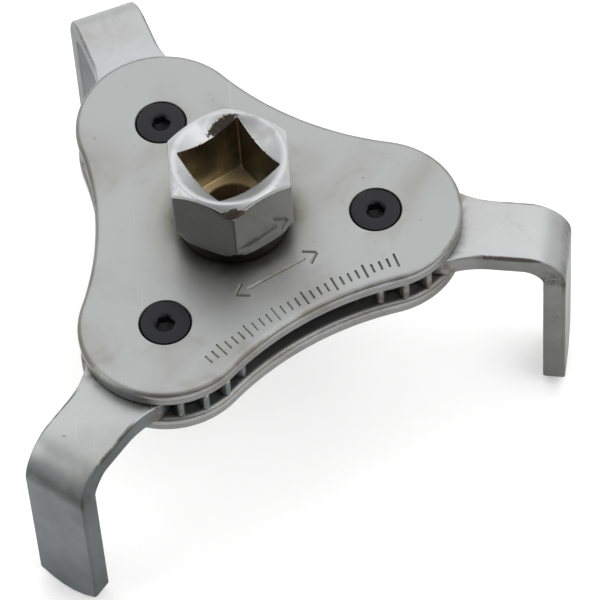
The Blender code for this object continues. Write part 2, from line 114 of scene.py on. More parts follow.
# %% Sockets that take part in sums
class Wire:
    """An output socket; arithmetic on it adds Math nodes to its tree."""

    def __init__(self, net, socket):
        self.net, self.socket = net, socket

    def _math(self, operation, *terms):
        return self.net.add("ShaderNodeMath", {"operation": operation}, dict(enumerate(terms)))

    def __add__(self, other):
        return self._math("ADD", self, other)

    def __sub__(self, other):
        return self._math("SUBTRACT", self, other)

    def __rsub__(self, other):
        return self._math("SUBTRACT", other, self)

    def __mul__(self, other):
        return self._math("MULTIPLY", self, other)

    def __truediv__(self, other):
        return self._math("DIVIDE", self, other)

    def __rtruediv__(self, other):
        return self._math("DIVIDE", other, self)

    def __pow__(self, other):
        return self._math("POWER", self, other)

    __radd__, __rmul__ = __add__, __mul__

    def smaller(self, other):
        return self._math("MINIMUM", self, other)

    def larger(self, other):
        return self._math("MAXIMUM", self, other)

    def apply(self, operation):
        return self._math(operation, self)

    def rise(self, start, end):
        """0 below start, 1 above end, with a smooth step between."""
        return self.net.add(
            "ShaderNodeMapRange",
            {"interpolation_type": "SMOOTHSTEP"},
            {"Value": self, "From Min": start, "From Max": end},
        )


class Net:
    """A node tree while it is being built."""

    def __init__(self, tree):
        self.tree = tree

    def add(self, kind, settings=None, inputs=None, output=0):
        node = self.tree.nodes.new(kind)
        for key, value in (settings or {}).items():
            setattr(node, key, value)
        for key, value in (inputs or {}).items():
            if isinstance(value, Wire):
                self.tree.links.new(value.socket, node.inputs[key])
            else:
                node.inputs[key].default_value = value
        return Wire(self, node.outputs[output])


# %% [markdown]
# ## The base of every finish
# All finishes read the piece's own coordinates in metres, so a noise of scale 500 has features
# about two millimetres across on every piece. `Finish` starts a material with one Principled
# shader and offers the patterns that metal needs: noise, noise drawn out along one axis for
# scratches and tool marks, and a mix of two colours.


# %% A material with the patterns of worn metal
def tinted(colour, *factors):
    """A colour times one factor, or times one factor for each of its channels."""
    return tuple(np.multiply(colour, factors))


class Finish(Net):
    def __init__(self, name):
        self.material = bpy.data.materials.new(name)
        self.material.use_nodes = True
        super().__init__(self.material.node_tree)
        self.shader = self.tree.nodes["Principled BSDF"]
        self.here = self.add("ShaderNodeTexCoord", output="Object")
        self.facing = self.add("ShaderNodeNewGeometry", output="Normal")

    def turned(self, offset=(0, 0, 0), angles=(0, 0, 0), scale=(1, 1, 1)):
        place = {"Vector": self.here, "Location": offset, "Rotation": angles, "Scale": scale}
        return self.add("ShaderNodeMapping", {"vector_type": "POINT"}, place)

    def noise(self, scale, detail, rough, twist=0.0, at=None):
        values = {"Vector": at or self.here, "Scale": scale, "Detail": detail}
        values.update({"Roughness": rough, "Distortion": twist})
        return self.add("ShaderNodeTexNoise", {"noise_dimensions": "3D"}, values)

    def part(self, vector, axis):
        return self.add("ShaderNodeSeparateXYZ", None, {0: vector}, output=axis)

    def mix(self, factor, first, second):
        first, second = (c if isinstance(c, Wire) else (*c, 1.0) for c in (first, second))
        values = {0: factor, 6: first, 7: second}  # the sockets of a Mix node that mixes colours
        return self.add("ShaderNodeMix", {"data_type": "RGBA"}, values, 2)

    def bump(self, height, distance, strength=1.0, under=None):
        values = {"Height": height, "Distance": distance, "Strength": strength}
        if under is not None:
            values["Normal"] = under
        return self.add("ShaderNodeBump", None, values)

    def scratches(self, scale, angle, reach, keep, offset):
        """Thin marks that run along one direction in plan, 0 or 1."""
        along = self.turned((offset, offset, 0), (0, 0, angle), (1, reach, 1))
        lines = self.noise(scale, 2.0, 0.6, 0.3, along)
        return lines.rise(keep, keep + 0.04)

    def set(self, **sockets):
        for key, value in sockets.items():
            socket = self.shader.inputs[key.replace("_", " ")]
            if isinstance(value, Wire):
                self.tree.links.new(value.socket, socket)
            else:
                socket.default_value = value
        return self.material


print("finish helper ready")

# %% [markdown]
# ## Zinc-plated steel
# The plates and jaws are pressed from steel and plated with zinc. The plating is satin, a little
# cloudy, with faint yellowish and greenish patches where fluid dried, fine handling scratches and
# small dark specks. Each of those is one pattern at its own scale: clouds of 15 to 30 mm, patches
# of a few millimetres, grain well under a millimetre. The bump is only micrometres high, because a
# plated surface is smooth and only its sheen is uneven.


# %% The zinc finish
def zinc(name, light, warm, seed, stain, tilt=0.0):
    """Satin zinc in two tones; stain is how much shows of dried fluid, tilt turns the scratches."""
    f = Finish(name)
    shifted = f.turned((seed * 0.37, seed * 0.21, seed * 0.11))
    clouds = f.noise(38.0, 3.0, 0.5, 0.8, shifted)
    patches = f.noise(130.0, 5.0, 0.62, 1.4, shifted)
    grain = f.noise(1900.0, 4.0, 0.65, 0.0, shifted)
    sparkle = f.noise(7000.0, 2.0, 0.5, 0.0, shifted)
    fine = f.scratches(900.0, tilt + 0.5, 0.04, 0.69, seed)
    cross = f.scratches(1500.0, tilt - 0.9, 0.03, 0.70, seed + 2.0)
    speck = f.noise(620.0, 1.0, 0.4, 0.0, shifted).rise(0.785, 0.82)
    worn = clouds.rise(0.42, 0.66)
    dried = (patches * 0.6 + clouds * 0.4).rise(0.52, 0.66)
    colour = f.mix(worn * 0.8, light, warm)
    colour = f.mix(dried * stain, colour, tinted(warm, 0.78, 0.77, 0.66))
    colour = f.mix((grain - 0.5) * 0.5 + 0.16, colour, (0.30, 0.30, 0.29))
    colour = f.mix((fine + cross) * 0.03, colour, (0.80, 0.81, 0.80))
    colour = f.mix(speck * 0.45, colour, (0.12, 0.10, 0.07))
    rough = 0.31 + grain * 0.12 + sparkle * 0.05 + worn * 0.06 + dried * 0.05 - fine * 0.03
    f.grain, f.clouds, f.patches, f.colour, f.rough = grain, clouds, patches, colour, rough
    waves = f.bump(clouds * 0.7 + patches * 0.3, 0.16 * MM, 0.35)
    f.normal = f.bump(grain + (fine + cross) * -0.3 + speck * -0.8, 0.010 * MM, 0.7, waves)
    f.set(Metallic=1.0, Base_Color=colour, Roughness=rough, Normal=f.normal)
    return f


# %% [markdown]
# ### The sheared edge of a pressed plate
# A press cuts the plate like a pair of scissors. Under the rounded upper edge there is a smooth
# burnished band, then a fine dark line, and below it the metal has torn: it is rougher, darker and
# drawn into upright streaks. On a flat plate those zones are heights, so the finish of a plate is
# the zinc finish with masks made from the height. The rounded edge is painted darker, partly as
# painted shade that dims its sheen and partly as dried stain. Old oil has crept out round the hub
# on the upper plate as a wider, fainter halo, and close round the hub a dark ring is painted: the
# hub's contact shadow, with some old oil.


# %% The plate finish
TEAR_DOWN = 1.45  # mm below the upper face at which the burnished band gives way to the torn one


def sheared_zinc(name, top, light, warm, seed, stain, halo):
    """Zinc for a plate with its upper face at top; halo is the width of its oily ring in mm."""
    f = zinc(name, light, warm, seed, stain)
    height = f.part(f.here, 2)
    depth = (top - height) / MM + (f.patches - 0.5) * 0.5
    upward = f.part(f.facing, 2).apply("ABSOLUTE")
    side = 1.0 - upward.rise(0.55, 0.8)
    rolled_edge_shade_and_stain = upward.rise(0.2, 0.5) * (1.0 - upward.rise(0.88, 0.985))
    streaks = f.noise(2600.0, 3.0, 0.6, 0.0, f.turned(scale=(1, 1, 0.12)))
    torn = depth.rise(TEAR_DOWN, TEAR_DOWN + 0.15) * side
    line = depth.rise(TEAR_DOWN - 0.07, TEAR_DOWN + 0.03) * side
    line = line * (1.0 - depth.rise(TEAR_DOWN + 0.07, TEAR_DOWN + 0.17))
    stained = (f.patches * 0.6 + f.clouds * 0.4 + (f.grain - 0.5) * 0.2).rise(0.40, 0.62)
    # the rounded edge is painted darker: partly painted shade that dims its sheen, partly dried
    # stain
    colour = f.mix(rolled_edge_shade_and_stain * (0.35 + stained * 0.45), f.colour, (0.13, 0.124, 0.105))
    colour = f.mix(side * stained * 0.35, colour, (0.115, 0.105, 0.08))
    colour = f.mix(torn * (0.25 + streaks * 0.35), colour, (0.20, 0.20, 0.20))
    colour = f.mix(line * 0.75, colour, (0.07, 0.07, 0.065))
    if halo:
        x, y = f.part(f.here, 0), f.part(f.here, 1)
        radius = (x * x + y * y).apply("SQRT") / MM
        oily = 1.0 - (radius + (f.clouds - 0.5) * 9.0).rise(9.0, 9.0 + halo)
        colour = f.mix(oily * (1.0 - side) * 0.5, colour, (0.17, 0.165, 0.125))
        # painted shadow: a dark ring close round the hub's foot, the hub's contact shadow with some
        # old oil
        ring = 1.0 - (radius + (f.patches - 0.5) * 3.0).rise(8.5, 14.5)
        colour = f.mix(ring ** 1.5 * 0.9, colour, (0.035, 0.033, 0.024))
    rough = f.rough + torn * 0.14 - side * (1.0 - torn) * 0.05
    normal = f.bump(streaks * torn, 0.05 * MM, 0.9, f.normal)
    f.set(Base_Color=colour, Roughness=rough, Normal=normal)
    return f.material


TOP_ZINC = sheared_zinc(
    "satin_zinc_top", FACE_Z, (0.285, 0.291, 0.294), (0.25, 0.25, 0.24), 1.0, 0.3, 9.0)
LOW_ZINC = sheared_zinc(
    "satin_zinc_bottom", lower_high.z, (0.30, 0.305, 0.305), (0.26, 0.258, 0.245), 5.0, 0.4, 0.0)
print("plate finishes:", TOP_ZINC.name, LOW_ZINC.name)

# %% [markdown]
# ## Chrome, oily steel and black oxide
# The hub is polished and chromed: its upright flats are nearly mirrors, with slight waviness from
# polishing, faint smudges and a few hairline scratches, and its rim and mouth are satin. The flats
# are painted a darker tone and the upward faces a lighter one, as painted shade and light for what
# they mirror. Two chips show where the plating broke off. The socket is unplated inside and holds
# old oil, so its walls are brown, with painted shade that deepens towards the golden floor, and
# with upright broaching marks. The screws, and the ring below, are blackened steel, and the gear
# and sleeves are bare steel with an oil film. The hub's collar is oiled bare steel painted almost
# black, as the shadow under the hexagon.


# %% The chrome finish
def chrome(name, chips):
    """Chrome for the hub; chips are the places where the plating has broken off."""
    f = Finish(name)
    smudge = f.noise(240.0, 4.0, 0.6, 1.0)
    wave = f.noise(170.0, 2.0, 0.5)
    dust = f.noise(2400.0, 3.0, 0.6)
    hair = f.scratches(1300.0, 0.4, 0.05, 0.70, 3.0)
    upright = f.noise(1100.0, 2.0, 0.6, 0.2, f.turned(scale=(1, 1, 0.05))).rise(0.70, 0.74)
    film = smudge.rise(0.48, 0.68)
    # painted light and shade: upward faces get a lighter tone and upright flats a darker one,
    # standing in for what they mirror; the same mask makes the upward faces satin
    upward_lighter_and_satin = f.part(f.facing, 2).rise(0.30, 0.72)
    upward_painted_tone = f.mix(film * 0.5, (0.43, 0.435, 0.44), (0.31, 0.31, 0.297))
    colour = f.mix(upward_lighter_and_satin, f.mix(film * 0.6, (0.27, 0.27, 0.26), (0.22, 0.216, 0.19)), upward_painted_tone)
    colour = f.mix(dust.rise(0.68, 0.74) * 0.4, colour, (0.28, 0.26, 0.22))
    ragged = (f.noise(1100.0, 4.0, 0.6) - 0.5) * 1.1
    chipped = 0.0
    for place, turn, size in chips:
        values = {"Vector": f.here, "Location": place, "Rotation": (0, 0, turn), "Scale": size}
        near = f.add("ShaderNodeMapping", {"vector_type": "TEXTURE"}, values)
        near = f.add("ShaderNodeVectorMath", {"operation": "LENGTH"}, {0: near}, "Value")
        chipped = (1.0 - (near + ragged).rise(0.70, 0.90)).larger(chipped)
    under = f.mix(dust.rise(0.56, 0.72), (0.038, 0.029, 0.021), (0.17, 0.12, 0.075))
    colour = f.mix(chipped * 0.95, colour, under)
    rough = 0.10 + upward_lighter_and_satin * 0.30 + film * 0.09 + dust * 0.03
    rough = rough + (hair + upright) * 0.06 + chipped * 0.25
    relief = dust * (0.4 + chipped * 12.0) - hair - upright - chipped * 20.0
    normal = f.bump(relief, 0.004 * MM, 0.6, f.bump(wave, 0.10 * MM, 0.30))
    return f.set(Metallic=1.0, Base_Color=colour, Roughness=rough, Normal=normal)


def oily_socket(name, floor_z):
    """Unplated steel under old oil, for a socket with its floor at floor_z."""
    f = Finish(name)
    broach = f.noise(1500.0, 3.0, 0.6, 0.0, f.turned(scale=(1, 1, 0.04)))
    pool = f.noise(190.0, 4.0, 0.6, 1.2)
    height = (f.part(f.here, 2) - floor_z) / MM
    low = 1.0 - height.rise(-0.1, 1.2)
    flat = f.part(f.facing, 2).rise(0.6, 0.9)
    colour = f.mix(pool.rise(0.38, 0.66), (0.150, 0.131, 0.108), (0.24, 0.21, 0.17))
    # painted shade: the walls darken towards the floor of the deep socket
    colour = f.mix((1.0 - height.rise(2.0, 7.0)) * 0.60, colour, (0.055, 0.047, 0.035))
    colour = f.mix(flat * (0.6 + low * 0.4), colour, (0.95, 0.76, 0.42))
    colour = f.mix(broach.rise(0.55, 0.75) * 0.25, colour, (0.52, 0.46, 0.36))
    rough = 0.22 + pool * 0.16 + broach * 0.08
    normal = f.bump(broach, 0.02 * MM, 0.7, f.bump(pool, 0.08 * MM, 0.3))
    return f.set(Metallic=1.0, Base_Color=colour, Roughness=rough, Normal=normal)


def black_oxide(name, seed, shine=0.34):
    f = Finish(name)
    shifted = f.turned((seed * 0.3, seed * 0.2, 0))
    grain = f.noise(2600.0, 4.0, 0.6, 0.0, shifted)
    rub = f.noise(420.0, 4.0, 0.6, 1.0, shifted).rise(0.55, 0.75)
    colour = f.mix(rub * 0.5, (0.008, 0.0082, 0.0100), (0.020, 0.019, 0.021))
    colour = f.mix(grain.rise(0.66, 0.74) * 0.22, colour, (0.07, 0.065, 0.06))
    rough = shine + grain * 0.18 - rub * 0.06
    normal = f.bump(grain, 0.014 * MM, 0.8)
    return f.set(
        Metallic=0.0, Base_Color=colour, Roughness=rough, Normal=normal, Specular_IOR_Level=0.2)


def bare_steel(name, seed, shade=1.0):
    f = Finish(name)
    shifted = f.turned((seed * 0.3, seed * 0.2, 0))
    grain = f.noise(1700.0, 4.0, 0.6, 0.0, shifted)
    film = f.noise(210.0, 4.0, 0.6, 1.0, shifted).rise(0.40, 0.68)
    turning = f.noise(2400.0, 2.0, 0.5, 0.0, f.turned(scale=(0.08, 0.08, 1)))
    clean, filmed = tinted((0.40, 0.39, 0.37), shade), tinted((0.22, 0.19, 0.14), shade)
    colour = f.mix(film * 0.7, clean, filmed)
    colour = f.mix(grain.rise(0.58, 0.74) * 0.4, colour, tinted((0.14, 0.12, 0.10), shade))
    rough = 0.32 + grain * 0.16 - film * 0.10
    normal = f.bump(grain * 0.6 + turning * 0.4, 0.015 * MM, 0.8)
    return f.set(Metallic=1.0, Base_Color=colour, Roughness=rough, Normal=normal)


print("metal finishes ready")

# %% [markdown]
# ## From rings of points to a closed skin
# Most pieces here are skins stretched over closed rings of points: the first ring is closed, each
# ring is joined to the next by a strip of faces, and the last is closed again. Turned, sheared and
# broached shapes all fit that one rule. `finish_piece` gives the mesh its materials and shading,
# ties it to a CAD body and hides the CAD node that it stands for.


# %% Skins, cutters and finished pieces
def skin(rings, slots=None):
    """A closed mesh over rings of (x, y, z) points; slots numbers the materials of each strip."""
    rings = [np.asarray(r, float) for r in rings]
    bm = bmesh.new()
    rows = [[bm.verts.new(p) for p in ring] for ring in rings]
    for k, (low, high) in enumerate(zip(rows, rows[1:])):
        n = max(len(low), len(high))
        for i in range(n):
            j = (i + 1) % n
            if len(low) == 1:
                face = bm.faces.new((low[0], high[j], high[i]))
            elif len(high) == 1:
                face = bm.faces.new((low[i], low[j], high[0]))
            else:
                face = bm.faces.new((low[i], low[j], high[j], high[i]))
            if slots is not None:
                face.material_index = int(slots[k][i])
    for row in (rows[0], rows[-1]):
        if len(row) > 1:
            bm.faces.new(row)
    bmesh.ops.recalc_face_normals(bm, faces=bm.faces)
    mesh = bpy.data.meshes.new("skin")
    bm.to_mesh(mesh)
    bm.free()
    return mesh


def loose_object(name, mesh):
    ob = bpy.data.objects.new(name, mesh)
    bpy.context.scene.collection.objects.link(ob)
    return ob


def joined(mesh, *steps):
    """The mesh after exact Booleans with other meshes, each given as (operation, mesh)."""
    ob = loose_object("stock", mesh)
    tools = []
    for operation, other in steps:
        tool = loose_object("tool", other)
        cut = ob.modifiers.new("cut", "BOOLEAN")
        cut.operation, cut.solver, cut.object = operation, "EXACT", tool
        tools.append(tool)
    graph = bpy.context.evaluated_depsgraph_get()
    result = bpy.data.meshes.new_from_object(ob.evaluated_get(graph))
    for extra in (ob, *tools):
        bpy.data.objects.remove(extra, do_unlink=True)
    bm = bmesh.new()
    bm.from_mesh(result)
    bmesh.ops.remove_doubles(bm, verts=bm.verts, dist=0.0005 * MM)
    bm.to_mesh(result)
    bm.free()
    return result


def finish_piece(name, mesh, materials, body, node, sharp=32):
    """Make the piece that stands for a CAD node; edges over sharp degrees stay crisp."""
    mesh.name = name
    second = [p.material_index for p in mesh.polygons] if len(materials) > 1 else None
    mesh.materials.clear()
    for material in materials:
        mesh.materials.append(material)
    if second:
        mesh.polygons.foreach_set("material_index", second)
    mesh.shade_smooth()
    mesh.set_sharp_from_angle(angle=math.radians(sharp))
    piece = loose_object(name, mesh)
    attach(piece, body)
    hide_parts(node)
    triangles = sum(len(p.vertices) - 2 for p in mesh.polygons)
    print(f"{name}: {triangles} triangles, rides on {body}")
    return piece


# %% [markdown]
# ## Profiles with rounded corners
# No edge of a real tool is a knife edge. `eased` rounds each inner corner of a profile, given as
# (radius, height) points, and `turned` spins such a profile into a skin.


# %% Round a profile, spin a profile
def eased(points, radius, steps=5):
    """The same profile with every inner corner rounded."""
    result = [Vector(points[0])]
    for before, corner, after in zip(points, points[1:], points[2:]):
        corner = Vector(corner)
        back, on = Vector(before) - corner, Vector(after) - corner
        bend = math.pi - back.angle(on)
        run = min(radius * math.tan(bend / 2), back.length * 0.45, on.length * 0.45)
        start, end = corner + back.normalized() * run, corner + on.normalized() * run
        for i in range(steps + 1):
            t = i / steps
            result.append(start * (1 - t) ** 2 + corner * 2 * t * (1 - t) + end * t**2)
    return [tuple(p) for p in result + [Vector(points[-1])]]


def circle_ring(radius, height, angles, centre=(0.0, 0.0)):
    radius = np.broadcast_to(radius, angles.shape)
    x, y = centre[0] + radius * np.cos(angles), centre[1] + radius * np.sin(angles)
    return np.stack([x, y, np.full(angles.shape, height)], 1)


def turned(profile, steps, centre=(0.0, 0.0)):
    angles = np.arange(steps) * 2 * math.pi / steps
    return skin([
        circle_ring(r, z, angles, centre) if r > 0 else [(*centre[:2], z)] for r, z in profile
    ])


print("a rounded step:", len(eased([(0, 0), (1, 0), (1, 1)], 0.2)), "points")

# %% [markdown]
# ## The two plates
# Both plates are pressed from 3 mm steel: three round lobes about the pivots, joined by hollow
# sides. An outline made only of arcs can be drawn again at any inset by changing its radii, so
# the edge is a set of such outlines: a rolled edge on top, the burnished band, the step where
# the metal tore, and a small burr line below. One exact Boolean each opens the holes.

# %% The lobed outline and the pressed edge
WAIST_SINK = 3.3 * MM  # how far each side is hollowed between the lobes


def lobed_outline(inset):
    half_span = PIVOT_R * math.sin(math.radians(60))
    hollow_r = half_span**2 / (2 * WAIST_SINK) - LOBE_R + WAIST_SINK / 2
    centre_d = PIVOT_R * math.cos(math.radians(60)) + LOBE_R - WAIST_SINK + hollow_r
    half = math.asin(half_span / (hollow_r + LOBE_R))
    points = []
    for i in range(3):
        at = math.radians(120 * i)
        lobe = Vector((PIVOT_R * math.cos(at), PIVOT_R * math.sin(at)))
        before, after = (
            Vector((centre_d * math.cos(at + s), centre_d * math.sin(at + s)))
            for s in (-math.pi / 3, math.pi / 3)
        )
        start = math.atan2(*reversed(before - lobe))
        end = math.atan2(*reversed(after - lobe))
        end += 2 * math.pi if end < start else 0.0
        middle = at + math.pi / 3 + math.pi
        arcs = (
            (lobe, LOBE_R - inset, np.linspace(start, end, 64)),
            (after, hollow_r + inset, np.linspace(middle + half, middle - half, 44)[1:-1]),
        )
        for centre, radius, angles in arcs:
            for a in angles:
                points.append((centre.x + radius * math.cos(a), centre.y + radius * math.sin(a)))
    return points


def pressed_plate(top, thickness, roll_in, roll_down):
    """A plate whose outlines, each at an (inset, depth), run from its upper to its lower face."""
    quarter = [math.radians(15 * i) for i in range(7)]
    tear = TEAR_DOWN * MM
    edge = [(roll_in + 0.6 * MM, 0.0), (roll_in + 0.15 * MM, 0.0)]
    edge += [(roll_in * (1 - math.sin(t)), roll_down * (1 - math.cos(t))) for t in quarter]
    edge += [(0.0, tear - 0.05 * MM), (0.03 * MM, tear + 0.01 * MM), (0.06 * MM, tear + 0.11 * MM)]
    edge += [(0.09 * MM, thickness - 0.3 * MM), (0.14 * MM, thickness - 0.08 * MM)]
    edge += [(0.30 * MM, thickness), (0.8 * MM, thickness)]
    return skin([[(x, y, top - down) for x, y in lobed_outline(inset)] for inset, down in edge])


print("outline points:", len(lobed_outline(0.0)))

# %% [markdown]
# ### Countersinks and bores
# Each hole is a turned cutter with a small lead-in at the faces. The radius of a bore is read
# from the CAD plate: it is the distance of the plate's innermost points from the axis.

# %% Cutters for the holes
SCREW_R, HEAD_R = 2.5 * MM, 4.3 * MM
FIT = 0.3 * MM  # the gap that the CAD leaves between pieces
HEAD_TOP = screw_high.z
HEAD_RIM = 0.3 * MM  # straight edge of the countersunk head
BORE_LEAD, HOLE_LEAD = 0.15 * MM, 0.1 * MM


def bore_radius(node):
    points = np.array([v.co for v in frame["nodes"][node].data.vertices])
    return float(np.hypot(points[:, 0], points[:, 1]).min())


def through_cutter(radius, low, high, lead, centre=(0.0, 0.0)):
    past = 1 * MM
    profile = [(0.0, high + past), (radius + lead + past, high + past), (radius, high - lead)]
    profile += [(radius, low + lead), (radius + lead + past, low - past), (0.0, low - past)]
    return turned(profile, 128, centre)


def seat_cutter(centre):
    mouth, hole = HEAD_R + FIT, SCREW_R + FIT
    rim = HEAD_TOP - HEAD_RIM
    profile = [(0.0, FACE_Z + MM), (mouth + 1.1 * MM, FACE_Z + MM), (mouth, FACE_Z - 0.1 * MM)]
    profile += [(mouth, rim), (hole, rim - mouth + hole), (hole, plate_low.z - MM)]
    return turned(profile + [(0.0, plate_low.z - MM)], 96, centre)


print("bores mm:", [round(bore_radius(n) / MM, 3) for n in ("top_plate", "bottom_plate")])

# %% [markdown]
# ### Stamped marks
# The upper plate carries stamped marks beside one hollow side. Here they are plain generic ones:
# a row of short strokes like a scale, and a double arrow for the two ways the tool turns. A
# stroke repeats along an arc, so a Geometry Nodes tree instances one V-shaped cutter on an arc of
# points, makes each fourth one longer, realizes the instances and sets their material. The same
# tree sets the teeth of the jaws later. A modifier's inputs are set by socket identifier.


# %% A Geometry Nodes tree that repeats a mesh along an arc
def new_tree(name, inputs):
    tree = bpy.data.node_groups.new(name, "GeometryNodeTree")
    tree.interface.new_socket("Geometry", in_out="OUTPUT", socket_type="NodeSocketGeometry")
    for label, kind in inputs:
        tree.interface.new_socket(label, in_out="INPUT", socket_type="NodeSocket" + kind)
    net = Net(tree)
    entry = tree.nodes.new("NodeGroupInput")
    return net, {label: Wire(net, entry.outputs[label]) for label, _ in inputs}


def close_tree(net, geometry, material):
    real = net.add("GeometryNodeRealizeInstances", None, {0: geometry})
    done = net.add("GeometryNodeSetMaterial", None, {"Geometry": real, "Material": material})
    end = net.tree.nodes.new("NodeGroupOutput")
    net.tree.links.new(done.socket, end.inputs[0])
    return net.tree


def arc_tree():
    net, size = new_tree("along_an_arc", (
        ("Mesh", "Geometry"), ("Count", "Int"), ("Radius", "Float"), ("First", "Float"),
        ("Step", "Float"), ("Long every", "Float"), ("Longer", "Float"), ("Material", "Material"),
    ))
    index = net.add("GeometryNodeInputIndex")
    angle = size["First"] + index * size["Step"]
    x, y = size["Radius"] * angle.apply("COSINE"), size["Radius"] * angle.apply("SINE")
    place = net.add("ShaderNodeCombineXYZ", None, {0: x, 1: y})
    points = net.add("GeometryNodePoints", None, {"Count": size["Count"], "Position": place})
    left_over = index._math("MODULO", index, size["Long every"])
    long = left_over._math("LESS_THAN", left_over, 0.5)
    turn = net.add("ShaderNodeCombineXYZ", None, {2: angle})
    turn = net.add("FunctionNodeEulerToRotation", None, {0: turn})
    grow = net.add("ShaderNodeCombineXYZ", None, {0: long * size["Longer"] + 1.0, 1: 1.0, 2: 1.0})
    copies = net.add("GeometryNodeInstanceOnPoints", None, {
        "Points": points, "Instance": size["Mesh"], "Rotation": turn, "Scale": grow})
    return close_tree(net, copies, size["Material"])


def grown(tree, values, seed_mesh=None):
    """The plain mesh that a tree makes from these named sizes."""
    holder = loose_object("holder", seed_mesh or bpy.data.meshes.new("empty"))
    step = holder.modifiers.new("grow", "NODES")
    step.node_group = tree
    for item in tree.interface.items_tree:
        if item.in_out == "INPUT" and item.name in values:
            step[item.identifier] = values[item.name]
    graph = bpy.context.evaluated_depsgraph_get()
    mesh = bpy.data.meshes.new_from_object(holder.evaluated_get(graph))
    bpy.data.objects.remove(holder, do_unlink=True)
    return mesh


ALONG_ARC = arc_tree()
print("tree sockets:", [i.name for i in ALONG_ARC.interface.items_tree])


# %% The strokes and the double arrow
def stroke(length, width=0.44 * MM, depth=0.20 * MM, over=0.2 * MM):
    """A V-shaped cutter along X, centred on the origin, that cuts to depth below z = 0."""
    k = 1 + over / depth
    half, w = length / 2, width / 2
    section = [(-w * k, over), (w * k, over), (0.0, -depth)]
    return skin([[(x, y, z) for y, z in section] for x in (-half, half)])


def placed(mesh, x, y, z, angle):
    mesh = mesh.copy()
    mesh.transform(Matrix.Translation((x, y, z)) @ Matrix.Rotation(angle, 4, "Z"))
    return mesh


MARK_SIDE = math.radians(-60.6)  # the hollow side that the marks follow
ROW_R, ROW_MIDDLE = 96 * MM, 21.4 * MM  # the row's radius, and its middle from the drive axis
ROW_COUNT, ROW_STEP = 27, 1.46 * MM / ROW_R
ROW_FIRST = MARK_SIDE + math.pi - ROW_STEP * (ROW_COUNT - 1) / 2
scale_row = grown(ALONG_ARC, {
    "Count": ROW_COUNT, "Radius": ROW_R, "First": ROW_FIRST, "Step": ROW_STEP,
    "Long every": 4.0, "Longer": 0.55, "Material": TOP_ZINC,
}, stroke(1.9 * MM))
OUT = Vector((math.cos(MARK_SIDE), math.sin(MARK_SIDE)))
row_centre = OUT * (ROW_MIDDLE + ROW_R)
scale_row.transform(Matrix.Translation((*row_centre, FACE_Z)))

ALONG = Vector((-math.sin(MARK_SIDE), math.cos(MARK_SIDE)))  # along the row
ARROW_MIDDLE, ARROW_W = OUT * 14.3 * MM, 0.55 * MM
SHAFT, BARB, BARB_TURN = 11.6 * MM, 2.5 * MM, 0.62
BARB_ALONG, BARB_OUT = 7.15 * MM, 0.78 * MM  # middle of a barb from the middle of the arrow
arrow_lines = [(0.0, 0.0, SHAFT, 0.0)]
arrow_lines += [
    (end * BARB_ALONG, side * BARB_OUT, BARB, end * side * BARB_TURN)
    for end in (1, -1) for side in (1, -1)
]
arrow_strokes = []
for along, out, length, turn in arrow_lines:
    spot = ARROW_MIDDLE + ALONG * along + OUT * out
    heading = math.atan2(ALONG.y, ALONG.x) + turn
    arrow_strokes.append(placed(stroke(length, ARROW_W), spot.x, spot.y, FACE_Z, heading))
print("strokes in the row:", ROW_COUNT, "and in the arrow:", len(arrow_strokes))

# %% [markdown]
# ### Cut and finish the plates
# The upper plate takes the bore of the hub, three countersinks and the marks. The lower one has
# plain holes for the screws.

# %% Both plates
upper = joined(
    pressed_plate(FACE_Z, FACE_Z - plate_low.z, roll_in=1.25 * MM, roll_down=0.85 * MM),
    ("DIFFERENCE", through_cutter(bore_radius("top_plate"), plate_low.z, FACE_Z, BORE_LEAD)),
    *[("DIFFERENCE", seat_cutter(p)) for p in PIVOTS.values()],
    ("DIFFERENCE", scale_row),
    *[("DIFFERENCE", mesh) for mesh in arrow_strokes],
)
finish_piece("pressed_plate_top", upper, [TOP_ZINC], "carrier", "top_plate")
lower_span = lower_low.z, lower_high.z
lower = joined(
    pressed_plate(lower_high.z, lower_high.z - lower_low.z, roll_in=1.0 * MM, roll_down=0.6 * MM),
    ("DIFFERENCE", through_cutter(bore_radius("bottom_plate"), *lower_span, BORE_LEAD)),
    *[("DIFFERENCE", through_cutter(SCREW_R + FIT, *lower_span, HOLE_LEAD, p))
      for p in PIVOTS.values()],
)
finish_piece("pressed_plate_bottom", lower, [LOW_ZINC], "carrier", "bottom_plate")

# %% [markdown]
# ## The drive hub
# The hub is one turned and broached piece: a hexagon for a wrench, chamfered at its top, a collar
# below it, a keyed stem through the gear, and a square socket with a countersunk mouth. Seen from
# the axis, its surface is a distance in every direction at every height. So it is made as rings
# whose radius follows rules: the hexagon limited by the chamfer's cone outside, the square
# widened by the mouth's cone inside. A smooth minimum and maximum round the edges where two
# rules meet.


# %% Rules for polygons and soft edges
def rounded_polygon(angles, half_width, sides, corner_at, corner_r):
    """Distance from the axis to a polygon with rounded corners, in each direction."""
    step = 2 * math.pi / sides
    off = (angles - corner_at + step / 2) % step - step / 2
    from_flat = step / 2 - np.abs(off)
    inner = half_width - corner_r
    centre = inner / math.cos(step / 2)
    past_arc = np.maximum(corner_r**2 - (centre * np.sin(off)) ** 2, 0)
    round_part = centre * np.cos(off) + np.sqrt(past_arc)
    tangent = math.atan2(inner * math.tan(step / 2), half_width)
    return np.where(from_flat > tangent, round_part, half_width / np.cos(from_flat))


def soft_min(a, b, k):
    mix = np.clip(0.5 + 0.5 * (b - a) / k, 0, 1)
    return b * (1 - mix) + a * mix - k * mix * (1 - mix)


def soft_max(a, b, k):
    return -soft_min(-a, -b, k)


def curve(start, pull, end, steps):
    """Points on a curve that leaves start towards pull and arrives at end from it."""
    start, pull, end = (np.array(p) for p in (start, pull, end))
    return [tuple(start * (1 - t) ** 2 + pull * 2 * t * (1 - t) + end * t * t)
            for t in np.linspace(0, 1, steps + 1)]


